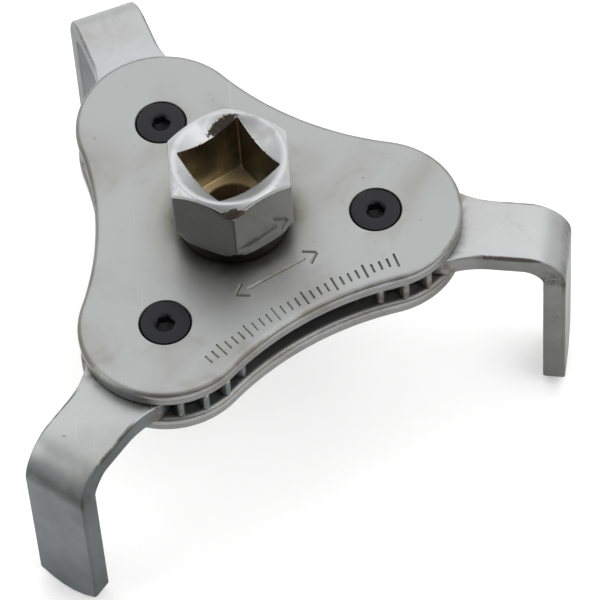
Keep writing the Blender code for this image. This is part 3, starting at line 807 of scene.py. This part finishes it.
print("corner of a 20 mm hexagon:", round(float(rounded_polygon(np.zeros(1), 10, 6, 0, 0.6)[0]), 3))

# %% [markdown]
# ### Sizes of the hub
# The hub's top, and the levels of the plates and the gear that its steps follow, come from the
# frame. The radii and the heights of the hexagon and the socket repeat those of the CAD.

# %% Make the hub
TOP = hub_high.z
HEX_FOOT = TOP - 14.0 * MM
FLOOR = TOP - 14.2 * MM
COLLAR_FOOT = FACE_Z + FIT
GEAR_FOOT = lower_high.z + FIT  # the gear and the jaws lie at this level
SHOULDER = 0.8 * MM  # the hub's lower end to the groove of the ring
HEX_HALF, SQUARE_HALF = 10.321 * MM, 6.4 * MM
HEX_AT, SQUARE_AT = math.radians(-87.5), math.radians(-101.5)
COLLAR_R, JOURNAL_R, KEY_HALF = 9.971 * MM, 8.27 * MM, 5.742 * MM
STEM_R, GROOVE_R, PILOT_R = 5.542 * MM, 4.742 * MM, 4.792 * MM
RIM_R, MOUTH_R = 10.121 * MM, 9.421 * MM

PLATED, SOCKET, STEM = 0, 1, 2  # the hub's material numbers
SPOKES = np.arange(480) * 2 * math.pi / 480
hexagon = rounded_polygon(SPOKES, HEX_HALF, 6, HEX_AT, 0.55 * MM)
square = rounded_polygon(SPOKES, SQUARE_HALF, 4, SQUARE_AT, 0.35 * MM)
key = rounded_polygon(SPOKES, KEY_HALF, 4, HEX_AT + math.pi / 4, 0.3 * MM)


def hub_rings():
    """The rings, and for each one the material number of the strip that follows it."""
    rings, slots = [[(0.0, 0.0, 0.0)]], [np.full(SPOKES.shape, STEM)]

    def ring(radius, height, slot=PLATED):
        rings.append(circle_ring(radius, height, SPOKES))
        slots.append(np.broadcast_to(slot, SPOKES.shape))

    stem = [
        (STEM_R - 0.3 * MM, 0.0), (STEM_R, 0.3 * MM), (STEM_R, SHOULDER), (GROOVE_R, SHOULDER),
        (GROOVE_R, lower_low.z), (STEM_R, lower_low.z), (STEM_R, GEAR_FOOT),
    ]
    for radius, height in stem:
        ring(radius, height, STEM)
    for height in (GEAR_FOOT, plate_low.z):
        ring(key, height, STEM)
    collar = [
        (JOURNAL_R, plate_low.z), (JOURNAL_R, COLLAR_FOOT), (COLLAR_R - 0.25 * MM, COLLAR_FOOT),
        (COLLAR_R, COLLAR_FOOT + 0.25 * MM), (COLLAR_R, HEX_FOOT),
    ]
    for radius, height in collar:
        ring(radius, height, STEM)

    flat_low, flat_high = HEX_FOOT + 1.7 * MM, TOP - 2.4 * MM
    foot_chamfer = [(10.0 * MM, HEX_FOOT), (10.75 * MM, HEX_FOOT), (12.35 * MM, flat_low)]
    for limit, height in eased(foot_chamfer, 0.6 * MM, 12)[1:]:
        ring(soft_min(hexagon, limit, 0.3 * MM), height)
    for share in (0.15, 0.4, 0.65, 0.85):
        ring(hexagon, flat_low + share * (flat_high - flat_low))
    crest = (RIM_R + MOUTH_R) / 2
    cone_foot, cone_top = (12.6 * MM, TOP - 2.48 * MM), (11.3 * MM, TOP - 1.18 * MM)
    outside = curve(cone_foot, cone_foot, cone_top, 15)
    outside += curve(cone_top, (RIM_R, TOP), (crest, TOP), 10)[1:]
    for limit, height in outside:
        ring(soft_min(hexagon, limit, 0.4 * MM) if limit > 10.0 * MM else limit, height)

    mouth_top, mouth_foot = (8.9 * MM, TOP - 0.35 * MM), (6.1 * MM, TOP - 2.2 * MM)
    mouth = curve((crest, TOP), (MOUTH_R + 0.1 * MM, TOP), mouth_top, 6)[1:]
    mouth += curve(mouth_top, mouth_top, mouth_foot, 18)[1:]
    for limit, height in mouth:
        slot = np.where(square > limit - 0.03 * MM, SOCKET, PLATED)
        ring(soft_max(square, limit, 0.10 * MM), height, slot)
    for height in (TOP - 4 * MM, TOP - 8 * MM, FLOOR + 0.35 * MM, FLOOR + 0.1 * MM):
        ring(square, height, SOCKET)
    ring(square - 0.1 * MM, FLOOR + 0.02 * MM, SOCKET)
    ring(np.minimum(square - 0.25 * MM, square * 0.93), FLOOR, SOCKET)
    pilot = [(PILOT_R + 0.2 * MM, FLOOR), (PILOT_R, FLOOR - 0.2 * MM), (PILOT_R, FLOOR - 8 * MM)]
    for radius, height in pilot:
        ring(radius, height, SOCKET)
    rings.append([(0.0, 0.0, FLOOR - 9.4 * MM)])
    return rings, slots


rings, slots = hub_rings()
CHIPS = (  # place, turn in plan and half sizes of each chip
    ((-0.9 * MM, 7.75 * MM, TOP - MM), math.radians(30), (3.6 * MM, 1.25 * MM, 4 * MM)),
    ((0.9 * MM, -11.1 * MM, TOP - 1.3 * MM), 0.0, (2.9 * MM, 1.3 * MM, 1.1 * MM)),
)
HUB_FINISHES = [
    chrome("polished_chrome", CHIPS),
    oily_socket("oily_socket_steel", FLOOR),
    # stem and collar: oiled bare steel darkened almost to black, painted shadow under the hexagon
    bare_steel("oiled_stem_steel", 6.0, 0.07),
]
finish_piece("chromed_hub", skin(rings, slots), HUB_FINISHES, "drive", "drive_hub", 28)

# %% [markdown]
# ## The pivot screws
# Black countersunk screws with a hexagon recess hold each jaw. They follow the same rules as the
# hub: rings whose radius is a circle, or the hexagon of the recess with its small lead-in. The
# lower end carries a thread: its radius rises and falls with height plus a share of the angle,
# which is a helix.

# %% Make the screws
TURNS = np.arange(120) * 2 * math.pi / 120
KEYWAY = rounded_polygon(TURNS, 1.5 * MM, 6, math.radians(12), 0.12 * MM)
THREAD_PITCH, THREAD_ROOT_R, THREAD_DEPTH = 0.8 * MM, 2.05 * MM, 0.43 * MM
SHANK_R = SCREW_R - 0.02 * MM


def screw_mesh():
    foot, rim = screw_low.z, HEAD_TOP - HEAD_RIM
    rings = [[(0.0, 0.0, foot)], circle_ring(1.9 * MM, foot, TURNS)]
    thread_top = lower_high.z
    for height in np.arange(foot + 0.3 * MM, thread_top, 0.1 * MM):
        crest = np.abs(((height / THREAD_PITCH + TURNS / (2 * math.pi)) % 1.0) - 0.5) * 2
        fade = min(1.0, (height - foot) / (0.6 * MM))
        rings.append(circle_ring(THREAD_ROOT_R + THREAD_DEPTH * crest * fade, height, TURNS))
    outer = eased([
        (SHANK_R, thread_top + 0.2 * MM), (SHANK_R, rim - HEAD_R + SCREW_R),
        (HEAD_R, rim), (HEAD_R, HEAD_TOP), (2.4 * MM, HEAD_TOP),
    ], 0.16 * MM, 4)
    rings += [circle_ring(r, z, TURNS) for r, z in outer]
    lead_in = ((2.05, 0.0), (1.95, 0.03), (1.8, 0.12), (1.65, 0.22), (1.45, 0.36))
    for radius, down in lead_in:
        widened = soft_max(KEYWAY, radius * MM, 0.05 * MM)
        rings.append(circle_ring(widened, HEAD_TOP - down * MM, TURNS))
    rings += [circle_ring(KEYWAY, HEAD_TOP - down * MM, TURNS) for down in (0.8, 2.1)]
    rings.append(circle_ring(KEYWAY * 0.9, HEAD_TOP - 2.2 * MM, TURNS))
    return skin(rings + [[(0.0, 0.0, HEAD_TOP - 2.9 * MM)]])


BLACK = {name: black_oxide("black_oxide_" + name, i * 3.0 + 1.0) for i, name in enumerate(PIVOTS)}
screw_pattern = screw_mesh()
for name, pivot in PIVOTS.items():
    spun = placed(screw_pattern, pivot.x, pivot.y, 0.0, math.atan2(pivot.y, pivot.x))
    finish_piece("socket_screw_" + name, spun, [BLACK[name]], "carrier", "screw_" + name)

# %% [markdown]
# ## The jaws
# A jaw starts as a flat strip whose neck widens in a hollow curve towards a toothed root, and is
# then bent down through a right angle. The strip follows a rule from end to end, so a Geometry
# Nodes tree makes it: sweep a rounded section along a unit line, crowd the stations towards the
# tip, widen the neck, bulge the tip, round the tip's edge, then bend the whole strip round the
# former. Real bends swell on the inside, which is one more term.


# %% [markdown]
# ### The finish of a jaw
# A jaw carries the same zinc, but its marks follow the strip: grime along the sheared edges, a dark
# smear across the bend where the former pressed, and rough side walls. Its upright faces, the leg
# above all, take a darker mottled tone as painted shade, darkest towards the leg's lower end. A
# Mapping node turns the piece's coordinates into the jaw's own, with X along the strip, so that
# masks can be made from plain distances.

# %% Sizes and finishes of the jaws
STRIP_T, STRIP_W, CORNER = 4.0 * MM, 12.3 * MM, 0.45 * MM
LEG_REACH, BEND_IN = 33.8 * MM, 3.2 * MM
NECK_RUN, NECK_ANGLE = 7.8 * MM, math.radians(32)
TEETH_ROUND, STRIP_TEETH = 20, 4  # teeth of a full circle, and those that the strip replaces
MODULE, GEAR_PLAY = 1.4143 * MM, 1.34 * MM
JAW_PITCH_R, JAW_TIP_R, JAW_ROOT_R = MODULE * TEETH_ROUND / 2, 15.006 * MM, 12.471 * MM


def jaw_zinc(name, light, warm, leg, seed, upright_shade, grime):
    """Zinc for one jaw; leg is a tone painted on its upright faces as shade; the last two numbers
    set that shade and the grime.
    """
    angle = LEG_AT[name]
    f = zinc("satin_zinc_jaw_" + name, light, warm, seed, 0.25, angle)
    place = {"Vector": f.here, "Location": PIVOTS[name], "Rotation": (0.0, 0.0, angle)}
    own = f.add("ShaderNodeMapping", {"vector_type": "TEXTURE"}, place)
    x, y, z = (f.part(own, i) / MM for i in range(3))
    shifted = f.turned((seed, 0, 0))
    patch, cloud = f.patches, f.clouds

    # where on the strip: how far across, how deep under its outer face, on which kind of face
    across = y.apply("ABSOLUTE") - STRIP_W / MM / 2
    depth = (STRIP_T / MM - z).smaller(LEG_REACH / MM - x)
    straight = x.rise(17.0, 20.0)
    wall = across.rise(-0.45, -0.2) * straight
    upright = 1.0 - f.part(f.facing, 2).apply("ABSOLUTE").rise(0.25, 0.94)

    # painted shade on the upright faces as a darker mottled leg tone, then grime along the upper
    # edges
    mottle = (f.noise(200.0, 4.0, 0.5, 0.4, shifted) * 0.6 + cloud * 0.4).rise(0.36, 0.66)
    colour = f.mix(upright * upright_shade, f.colour, f.mix(mottle, leg, tinted(leg, 0.78)))
    edge = across.rise(-0.60, -0.25) * (1.0 - depth.rise(0.45, 0.95)) * straight
    edge = edge * (patch + (f.grain - 0.5) * 0.15).rise(0.34, 0.60)
    edge = edge * (z.rise(-7.0, -1.0) * 0.85 + 0.15)
    colour = f.mix((edge * grime).smaller(0.9), colour, (0.070, 0.062, 0.050))

    # rust on the root, painted shade darkening the lower end of the leg, and the smear round the
    # bend
    rust = f.noise(620.0, 3.0, 0.6, 0.4, shifted).rise(0.44, 0.60)
    colour = f.mix((1.0 - x.rise(13.0, 16.5)) * rust * 0.75, colour, (0.085, 0.070, 0.052))
    lower_leg_shade = (1.0 - z.rise(-34.0, -12.0)) * upright
    colour = f.mix(lower_leg_shade * upright_shade * 0.28, colour, (0.055, 0.06, 0.06))
    smear = z.rise(-4.2, -1.8) * (1.0 - z.rise(-1.2, 1.6)) * x.rise(27.0, 30.0)
    smear = smear * (patch * 0.6 + f.grain * 0.4).rise(0.38, 0.58)
    colour = f.mix((smear * grime * 0.85).smaller(0.9), colour, (0.070, 0.076, 0.070))

    # streaks and blots on the sheared side walls
    streaks = f.noise(1500.0, 3.0, 0.6, 0.0, f.turned(angles=(0, 0, -angle), scale=(0.15, 1, 0.3)))
    blot = f.noise(330.0, 3.0, 0.6, 0.6, shifted).rise(0.66, 0.72) * wall
    colour = f.mix(wall * streaks * 0.35 + blot * 0.5 * grime, colour, (0.10, 0.095, 0.085))
    rough = f.rough + wall * 0.12 + edge * 0.10 + upright * 0.04
    normal = f.bump(streaks * wall - blot * 0.6, 0.04 * MM, 0.8, f.normal)
    return f.set(Base_Color=colour, Roughness=rough, Normal=normal)


# the fourth colour of each jaw is the darker tone painted on its upright faces as shade
JAW_ZINC = {
    "right": jaw_zinc(
        "right", (0.385, 0.39, 0.395), (0.35, 0.35, 0.345), (0.16, 0.162, 0.158), 11.0, 0.75, 1.2),
    "rear_left": jaw_zinc(
        "rear_left", (0.36, 0.365, 0.375), (0.32, 0.32, 0.315), (0.17, 0.18, 0.19), 13.0, 0.5, 0.4),
    "front_left": jaw_zinc(
        "front_left", (0.345, 0.353, 0.355), (0.30, 0.305, 0.302), (0.125, 0.142, 0.145), 17.0,
        0.95, 0.9),
}
print("jaw finishes:", len(JAW_ZINC))


# %% The strip as a Geometry Nodes tree
TIP_RUN = 9 * MM  # the bulge of the tip starts this far from its end
SWELL = 0.035  # share by which the bend widens inside and narrows outside


def strip_tree():
    net, size = new_tree("bent_strip", (
        ("Width", "Float"), ("Thickness", "Float"), ("Corner", "Float"), ("Start", "Float"),
        ("Bend at", "Float"), ("Bend radius", "Float"), ("Leg", "Float"), ("Neck end", "Float"),
        ("Neck run", "Float"), ("Neck radius", "Float"), ("Tip bulge", "Float"),
        ("Tip edge", "Float"), ("Material", "Material"),
    ))
    line = net.add("GeometryNodeCurvePrimitiveLine", None, {"Start": (0, 0, 0), "End": (1, 0, 0)})
    line = net.add("GeometryNodeResampleCurve", None, {"Curve": line, "Count": 150})
    section = net.add("GeometryNodeCurvePrimitiveQuadrilateral", None,
                      {"Width": size["Width"], "Height": size["Thickness"]})
    section = net.add("GeometryNodeFilletCurve", {"mode": "POLY"},
                      {"Curve": section, "Count": 4, "Radius": size["Corner"]})
    section = net.add("GeometryNodeSubdivideCurve", None, {"Curve": section, "Cuts": 4})
    sweep = net.add("GeometryNodeCurveToMesh", None,
                    {"Curve": line, "Profile Curve": section, "Fill Caps": True})
    spot = net.add("GeometryNodeInputPosition")
    along, side, lift = (net.add("ShaderNodeSeparateXYZ", None, {0: spot}, i) for i in range(3))
    half, thin = size["Width"] / 2, size["Thickness"] / 2
    quarter = size["Bend radius"] * (math.pi / 2)
    length = size["Bend at"] - size["Start"] + quarter + size["Leg"]
    s = size["Start"] + length * (1.0 - (1.0 - along).larger(0.0) ** 1.5)
    end = size["Start"] + length
    reach = (size["Neck end"] - s).larger(0.0).smaller(size["Neck run"])
    flare = size["Neck radius"] - (size["Neck radius"] ** 2 - reach * reach).apply("SQRT")
    share = side / half
    edge = ((s - end) / size["Tip edge"] + 1.0).larger(0.0).smaller(1.0)
    shrink = size["Tip edge"] * (1.0 - (1.0 - edge * edge).apply("SQRT"))
    s = s + size["Tip bulge"] * (1.0 - share * share) * s.rise(end - TIP_RUN, end)
    angle = ((s - size["Bend at"]) / size["Bend radius"]).larger(0.0).smaller(math.pi / 2)
    swell = 1.0 - (lift / thin) * (angle * 2).apply("SINE") * SWELL
    wide = side * (1.0 + flare / half) * (1.0 - shrink / half) * swell
    lift = lift * (1.0 - shrink / thin)
    arm = size["Bend radius"] + lift
    x = s.smaller(size["Bend at"]) + arm * angle.apply("SINE")
    down_leg = (s - size["Bend at"] - quarter).larger(0.0)
    z = arm * angle.apply("COSINE") - size["Bend radius"] - down_leg
    bent = net.add("ShaderNodeCombineXYZ", None, {0: x, 1: wide, 2: z})
    moved = net.add("GeometryNodeSetPosition", None, {"Geometry": sweep, "Position": bent})
    return close_tree(net, moved, size["Material"])


bend_mid = BEND_IN + STRIP_T / 2
bend_at = LEG_REACH - STRIP_T / 2 - bend_mid
tip_bulge = 2.1 * MM
tip_z = cad_box[0][2]
leg = (GEAR_FOOT + STRIP_T / 2 - bend_mid) - (tip_z + tip_bulge)
rise = JAW_TIP_R * math.sin(NECK_ANGLE) - STRIP_W / 2
strip = grown(strip_tree(), {
    "Width": STRIP_W, "Thickness": STRIP_T, "Corner": CORNER, "Start": 9.0 * MM,
    "Bend at": bend_at, "Bend radius": bend_mid, "Leg": leg,
    "Neck end": JAW_TIP_R * math.cos(NECK_ANGLE) + NECK_RUN, "Neck run": NECK_RUN,
    "Neck radius": (NECK_RUN**2 + rise**2) / (2 * rise), "Tip bulge": tip_bulge,
    "Tip edge": 0.5 * MM, "Material": JAW_ZINC["right"],
})
corners = np.array([v.co for v in strip.vertices]) / MM
print("strip box mm:", corners.min(0).round(2), corners.max(0).round(2))

# %% [markdown]
# ### The toothed root
# The root is a disc with sixteen teeth; the strip takes the place of the other four. One tooth has
# involute flanks, so it rolls on the gear's teeth, and a chamfered rim. The tree for marks along an
# arc repeats it. Disc, teeth and strip differ by hundredths of a millimetre in thickness, which
# keeps the Boolean from meeting faces in the same plane.


# %% One tooth, sixteen teeth, one jaw
PRESSURE = math.radians(20)  # pressure angle of the teeth
TIP_CHAMFER = 0.22 * MM
DISC_HALF, TEETH_T = 1.95 * MM, 3.96 * MM


def involute(angle):
    return math.tan(angle) - angle


def tooth_mesh(thickness, rim=0.14 * MM):
    width = (math.pi * MODULE - GEAR_PLAY) / 2
    base = JAW_PITCH_R * math.cos(PRESSURE)

    def half_angle(radius):
        at = math.acos(min(1.0, base / radius))
        return width / (2 * JAW_PITCH_R) + involute(PRESSURE) - involute(at)

    radii = np.linspace(JAW_ROOT_R - 0.6 * MM, JAW_TIP_R - TIP_CHAMFER, 6)
    flank = [(r, half_angle(r)) for r in radii]
    flank.append((JAW_TIP_R, half_angle(JAW_TIP_R) - TIP_CHAMFER / JAW_TIP_R))
    outline = [(r, -a) for r, a in flank] + [(r, a) for r, a in reversed(flank)]

    def layer(inset, height):
        middle = (JAW_ROOT_R + JAW_TIP_R) / 2
        points = []
        for r, a in outline:
            r = r - inset if r > middle else r
            a = a - math.copysign(inset / r, a)
            points.append((r * math.cos(a), r * math.sin(a), height))
        return points

    half = thickness / 2
    layers = ((rim, -half), (0.0, rim - half), (0.0, half - rim), (rim, half))
    return skin([layer(*values) for values in layers])


TOOTH_STEP = 2 * math.pi / TEETH_ROUND
teeth = grown(ALONG_ARC, {
    "Count": TEETH_ROUND - STRIP_TEETH, "Radius": 0.0, "First": TOOTH_STEP * (STRIP_TEETH + 1) / 2,
    "Step": TOOTH_STEP, "Long every": 1000.0, "Longer": 0.0, "Material": JAW_ZINC["right"],
}, tooth_mesh(TEETH_T))
disc_profile = [(0.0, -DISC_HALF), (JAW_ROOT_R, -DISC_HALF), (JAW_ROOT_R, DISC_HALF)]
disc = turned(disc_profile + [(0.0, DISC_HALF)], 160)
eye_r = sleeve_high.x - PIVOT_R + FIT
eye = through_cutter(eye_r, -DISC_HALF, DISC_HALF, 0.2 * MM)
jaw_pattern = joined(disc, ("UNION", teeth), ("UNION", strip), ("DIFFERENCE", eye))
for name, pivot in PIVOTS.items():
    mesh = placed(jaw_pattern, pivot.x, pivot.y, GEAR_FOOT + STRIP_T / 2, LEG_AT[name])
    finish_piece("bent_jaw_" + name, mesh, [JAW_ZINC[name]], "jaw_" + name, "jaw_" + name, 30)

# %% [markdown]
# ## Pieces that keep their CAD shape
# The gear inside, the sleeves on the screws and the spring ring under the lower plate are right as
# the CAD has them. They only get their finishes, in the material slots of the CAD objects.

# %% Finishes for the kept CAD nodes
kept = {"sun_gear": bare_steel("oiled_gear_steel", 2.0)}
kept["retaining_ring"] = black_oxide("spring_steel", 8.0, 0.28)
for i, name in enumerate(PIVOTS):
    kept["spacer_" + name] = bare_steel("sleeve_steel_" + name, 4.0 + i)
for node, material in kept.items():
    for place in frame["nodes"][node].material_slots:
        place.material = material
print("kept CAD nodes:", ", ".join(kept))

# %% [markdown]
# ## Floor, light and camera
# The tool stands on its three leg tips on a plain pale floor, which glows a little so that it
# stays near white. White surroundings do most of the work, as in a light tent that is brighter
# behind and to the right, and large soft lights add direction: metal only looks like metal when it
# has something bright and something dark to mirror.


# %% The floor
def paper(name):
    f = Finish(name)
    grain = f.noise(900.0, 3.0, 0.6)
    drift = f.noise(3.0, 2.0, 0.5)
    colour = f.mix(drift.rise(0.3, 0.7), (0.93, 0.93, 0.93), (0.90, 0.90, 0.895))
    rough = 0.85 + grain * 0.1
    normal = f.bump(grain, 0.02 * MM, 0.3)
    f.set(Metallic=0.0, Base_Color=colour, Roughness=rough, Normal=normal, Specular_IOR_Level=0.2)
    return f.set(Emission_Color=(1.0, 1.0, 1.0, 1.0), Emission_Strength=0.22)


reach, floor_z = 3.0, cad_box[0][2]
sheet_mesh = bpy.data.meshes.new("floor")
sheet_mesh.from_pydata(
    [(x * reach, y * reach, floor_z) for x, y in ((-1, -1), (1, -1), (1, 1), (-1, 1))],
    [], [(0, 1, 2, 3)])
floor = loose_object("floor", sheet_mesh)
sheet_mesh.materials.append(paper("white_paper"))
print("floor at mm:", round(floor_z / MM, 2))


# %% World and soft lights
def soft_light(name, azimuth, elevation, distance, width, depth, power):
    """A rectangular light at an azimuth and elevation in degrees, aimed at the tool."""
    data = bpy.data.lights.new(name, "AREA")
    data.shape, data.size, data.size_y, data.energy = "RECTANGLE", width, depth, power
    lamp = bpy.data.objects.new(name, data)
    a, e = math.radians(azimuth), math.radians(elevation)
    toward = Vector((math.cos(a) * math.cos(e), math.sin(a) * math.cos(e), math.sin(e)))
    lamp.location = toward * distance
    lamp.rotation_euler = (-lamp.location).to_track_quat("-Z", "Y").to_euler()
    bpy.context.scene.collection.objects.link(lamp)


world = bpy.data.worlds.new("light_tent")
world.use_nodes = True
tent = Net(world.node_tree)
BRIGHT_SIDE = (0.40, 0.85, 0.15)
looking = tent.add("ShaderNodeTexCoord", output="Generated")
facing_back = tent.add(
    "ShaderNodeVectorMath", {"operation": "DOT_PRODUCT"}, {0: looking, 1: BRIGHT_SIDE}, "Value")
strength = 0.33 + facing_back.rise(-0.45, 0.50) * 0.85
background = world.node_tree.nodes["Background"]
background.inputs["Color"].default_value = (1.0, 1.0, 1.0, 1.0)
world.node_tree.links.new(strength.socket, background.inputs["Strength"])
bpy.context.scene.world = world
soft_light("back_overhead", 84, 58, 1.3, 2.4, 2.0, 9.0)
soft_light("left_side", 190, 30, 0.9, 0.6, 0.6, 2.2)
soft_light("right_front", -30, 52, 1.1, 0.6, 0.6, 2.2)
bpy.context.scene.view_settings.view_transform = "Standard"

# %% [markdown]
# ### The camera
# A long lens from the front and above keeps the plates nearly free of perspective.

# %% Camera
AZ, EL, ROLL = math.radians(1.607), math.radians(55.534), math.radians(-4.388)
DISTANCE = 774.168 * MM
target = Vector((10.918 * MM, -18.28 * MM, FACE_Z))
back = Vector((math.sin(AZ) * math.cos(EL), -math.cos(AZ) * math.cos(EL), math.sin(EL)))
right = Vector((math.cos(AZ), math.sin(AZ), 0.0))
up = back.cross(right)
x_axis = right * math.cos(ROLL) + up * math.sin(ROLL)
y_axis = up * math.cos(ROLL) - right * math.sin(ROLL)
lens = bpy.data.cameras.new("camera")
lens.sensor_width, lens.lens = 36.0, 270.0
lens.clip_start, lens.clip_end = 0.01, 20.0
camera = bpy.data.objects.new("camera", lens)
camera.matrix_world = Matrix.Translation(target + back * DISTANCE) @ Matrix(
    (x_axis, y_axis, back)).transposed().to_4x4()
bpy.context.scene.collection.objects.link(camera)
bpy.context.scene.camera = camera
print("camera at mm:", [round(v / MM, 1) for v in camera.matrix_world.translation])

# %% [markdown]
# ## The size of the CAD model
# The looks must not change the tool's size; the box of the CAD model is written down here.
# The looks must not change the tool's size, so both boxes are written down side by side.

# %% Write the CAD box
print("CAD box mm:   ", [[round(v / MM, 3) for v in corner] for corner in cad_box])
